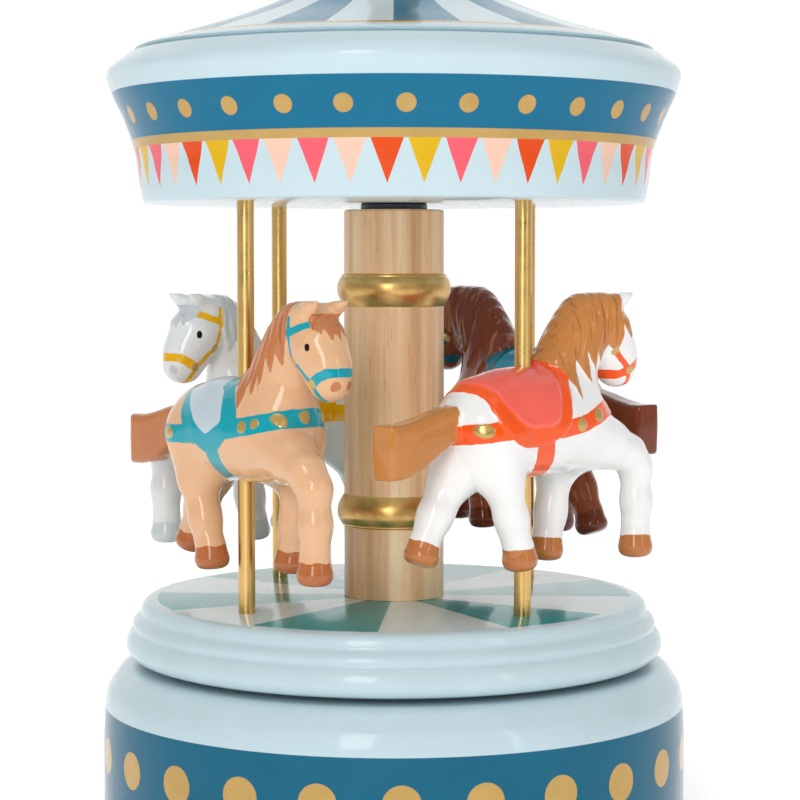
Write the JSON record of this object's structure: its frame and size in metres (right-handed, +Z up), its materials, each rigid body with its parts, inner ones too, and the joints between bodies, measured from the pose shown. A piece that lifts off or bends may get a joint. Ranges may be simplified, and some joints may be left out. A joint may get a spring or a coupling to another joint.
{
  "type": "wind up music box",
  "caption": "Turned wooden music box wound by a key underneath, with a painted carousel of horses on poles that turns on a spring movement in its base.",
  "frame": {"origin": "centre of the base's underside, on the carousel's axis", "axes": "+Z up along the carousel's axis; the front of the box looks along -Y; +X is to the right of someone facing the front"},
  "size_m": [0.13, 0.13, 0.2138],
  "materials": {
    "base_paint": "glossy two-tone paint over turned wood",
    "cover_board": "bare board",
    "deck_paint": "glossy paint in sectors over turned wood",
    "column_wood": "clear-varnished wood with gold-painted beads",
    "canopy_paint": "glossy paint with a blue band, gold dots and bunting",
    "roof_paint": "glossy paint over turned wood",
    "gold_paint": "gold paint",
    "brass": "satin",
    "steel": "plated",
    "spring_steel": "blued",
    "zinc_casting": "as cast",
    "horse_brown": "glossy paint",
    "horse_grey": "glossy paint",
    "horse_tan": "glossy paint",
    "horse_white": "glossy paint"
  },
  "bodies": {
    "base": {"base_housing": "base_paint", "bottom_cover": "cover_board", "spindle_bush": "brass", "governor_bracket": "brass", "cover_screw_1": "steel", "cover_screw_2": "steel", "cover_screw_3": "steel", "movement_screw_1": "steel", "movement_screw_2": "steel", "movement_screw_3": "steel", "comb": "steel", "comb_screw_1": "steel", "comb_screw_2": "steel", "governor_bracket_screw": "steel", "click": "spring_steel", "movement_bedplate": "zinc_casting"},
    "key": {"winding_arbor": "steel", "ratchet_wheel": "steel", "winding_key": "steel"},
    "carousel": {"spring_barrel": "brass", "barrel_cover": "brass", "mainspring": "spring_steel", "turntable_shaft": "steel", "drive_plate": "steel", "drive_plate_screw_1": "steel", "drive_plate_screw_2": "steel", "drive_plate_screw_3": "steel", "deck": "deck_paint", "column": "column_wood", "tie_rod": "steel", "tie_nut": "steel", "spacer_washer": "spring_steel", "pole_1": "brass", "pole_2": "brass", "pole_3": "brass", "pole_4": "brass", "horse_1": "horse_brown", "horse_2": "horse_grey", "horse_3": "horse_tan", "horse_4": "horse_white", "canopy_drum": "canopy_paint", "roof": "roof_paint", "finial": "gold_paint"},
    "cylinder": {"music_cylinder": "brass", "cylinder_arbor": "steel", "cylinder_pinion": "brass", "cylinder_wheel": "brass"},
    "governor": {"governor_arbor": "steel", "governor_wheel": "brass"},
    "fly": {"governor_worm": "steel", "governor_fly": "brass"}
  },
  "joints": [
    {"name": "key_wind", "type": "hinge", "parent": "base", "child": "key", "pos_m": [0, 0, 0], "axis": [0, 0, 1], "range_deg": [0, 1260]},
    {"name": "carousel_turn", "type": "hinge", "parent": "base", "child": "carousel", "pos_m": [0, 0, 0.0402], "axis": [0, 0, 1], "continuous": true},
    {"name": "cylinder_turn", "type": "hinge", "parent": "base", "child": "cylinder", "pos_m": [0.0228, 0, 0.0244], "axis": [1, 0, 0], "continuous": true},
    {"name": "governor_turn", "type": "hinge", "parent": "base", "child": "governor", "pos_m": [0.0329, -0.009, 0.0244], "axis": [1, 0, 0], "continuous": true},
    {"name": "fly_turn", "type": "hinge", "parent": "base", "child": "fly", "pos_m": [0.0359, -0.0163, 0.0244], "axis": [0, 0, 1], "continuous": true}
  ],
  "couplings": [
    {"joint": "cylinder_turn", "follows": "carousel_turn", "ratio": 2},
    {"joint": "governor_turn", "follows": "carousel_turn", "ratio": -7},
    {"joint": "fly_turn", "follows": "carousel_turn", "ratio": -168}
  ]
}
